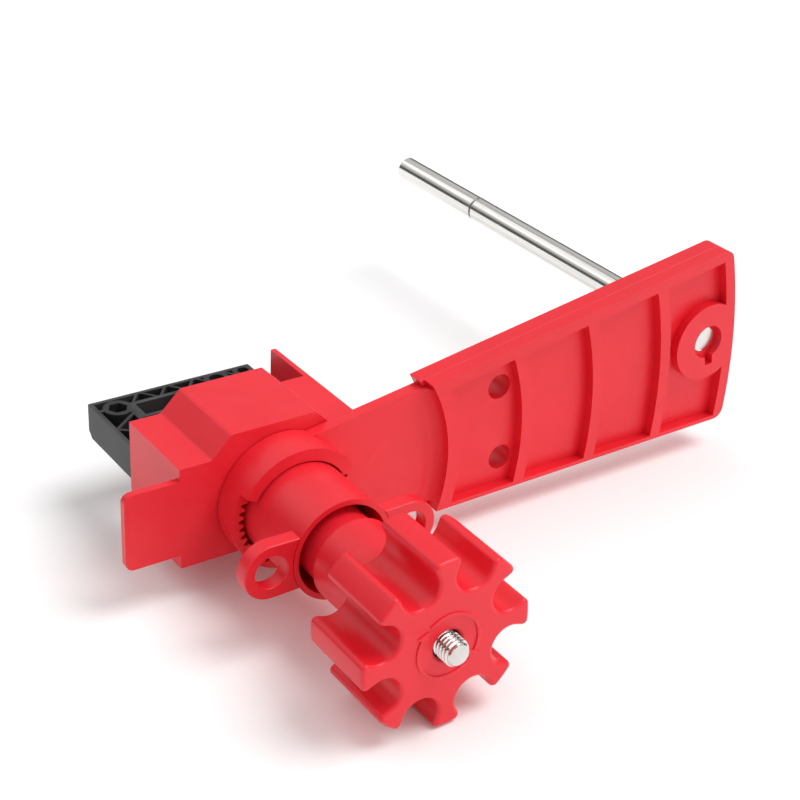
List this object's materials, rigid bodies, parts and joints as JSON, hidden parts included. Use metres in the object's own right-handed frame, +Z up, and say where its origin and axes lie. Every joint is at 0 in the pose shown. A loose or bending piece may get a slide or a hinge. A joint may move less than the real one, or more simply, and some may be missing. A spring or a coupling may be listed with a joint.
{
  "type": "valve handle lockout clamp",
  "caption": "Red screw-clamp lockout that grips a valve handle with a black hook jaw; an indexing arm and steel rod block the handle's turn, and padlock ears stop the knob.",
  "frame": {"origin": "on the clamp screw's axis, at the flat seat on the housing's back that the valve handle is pulled against", "axes": "+Y along the clamp screw from the knob to the hook jaw, +X to the right seen from the knob, in the direction the blocking arm points, +Z up"},
  "size_m": [0.2261, 0.268, 0.0748],
  "materials": {
    "red_plastic": "satin injection-moulded red nylon, light moulding grain",
    "black_nylon": "matte black glass-filled nylon",
    "rod_steel": "drawn stainless bar",
    "bright_steel": "machined stainless steel",
    "screw_steel": "zinc-plated steel",
    "spring_steel": "blackened spring steel",
    "brass_insert": "machined brass"
  },
  "bodies": {
    "housing": {"clamp_housing": "red_plastic", "seat_cover": "red_plastic", "cover_screws": "screw_steel", "lock_sleeve": "red_plastic", "padlock_ears": "red_plastic", "sleeve_snap_ring": "spring_steel", "thrust_washer": "bright_steel", "knob_retaining_ring": "spring_steel"},
    "hook_jaw": {"jaw": "black_nylon", "clamp_stud": "bright_steel", "stud_lock_washer": "spring_steel", "stud_jam_nut": "bright_steel"},
    "knob": {"knob": "red_plastic", "knob_insert": "brass_insert"},
    "arm": {"arm_hub": "red_plastic", "arm_plate": "red_plastic", "arm_frame": "red_plastic", "arm_screws": "screw_steel", "blocking_rod": "rod_steel", "rod_extension": "rod_steel", "rod_key_pin": "bright_steel", "rod_snap_ring": "spring_steel"}
  },
  "joints": [
    {"name": "knob_turn", "type": "hinge", "parent": "housing", "child": "knob", "pos_m": [0, -0.108, 0], "axis": [0, 1, 0], "range_deg": [-432, 3456]},
    {"name": "jaw_slide", "type": "slide", "parent": "housing", "child": "hook_jaw", "axis": [0, 1, 0], "range_m": [-0.012, 0.0015]},
    {"name": "arm_swing", "type": "hinge", "parent": "housing", "child": "arm", "pos_m": [0, -0.0375, 0], "axis": [0, 1, 0], "continuous": true}
  ],
  "couplings": [
    {"joint": "jaw_slide", "follows": "knob_turn", "m_per_rad": -0.00019894}
  ]
}
